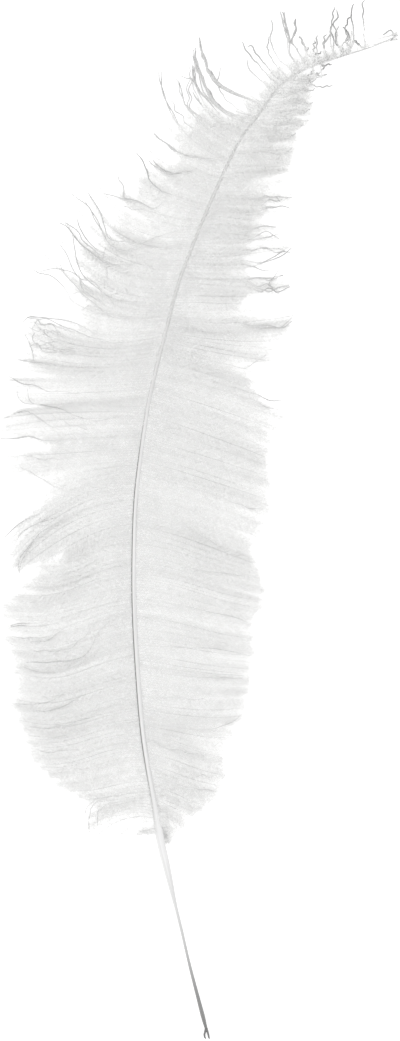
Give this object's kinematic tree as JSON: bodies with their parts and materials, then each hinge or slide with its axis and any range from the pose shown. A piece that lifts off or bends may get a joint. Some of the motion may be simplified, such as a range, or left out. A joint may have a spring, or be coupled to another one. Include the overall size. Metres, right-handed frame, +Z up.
{
  "type": "ostrich feather",
  "caption": "Long white ostrich plume lying flat: a bare split quill, a gently curved shaft, soft ragged vanes on both sides and a wispy tip that bends to one side.",
  "frame": {"origin": "on the surface that the feather lies on, under the middle of its length and width", "axes": "+Y along the feather from the quill's end towards the tip, +X to its right as seen from above, +Z up off the surface"},
  "size_m": [0.2102, 0.5501, 0.0101],
  "materials": {
    "barbs": "soft matte white down",
    "quill": "smooth pale horn, grey towards the split end"
  },
  "bodies": {
    "root": {"feather": "barbs"}
  },
  "joints": []
}
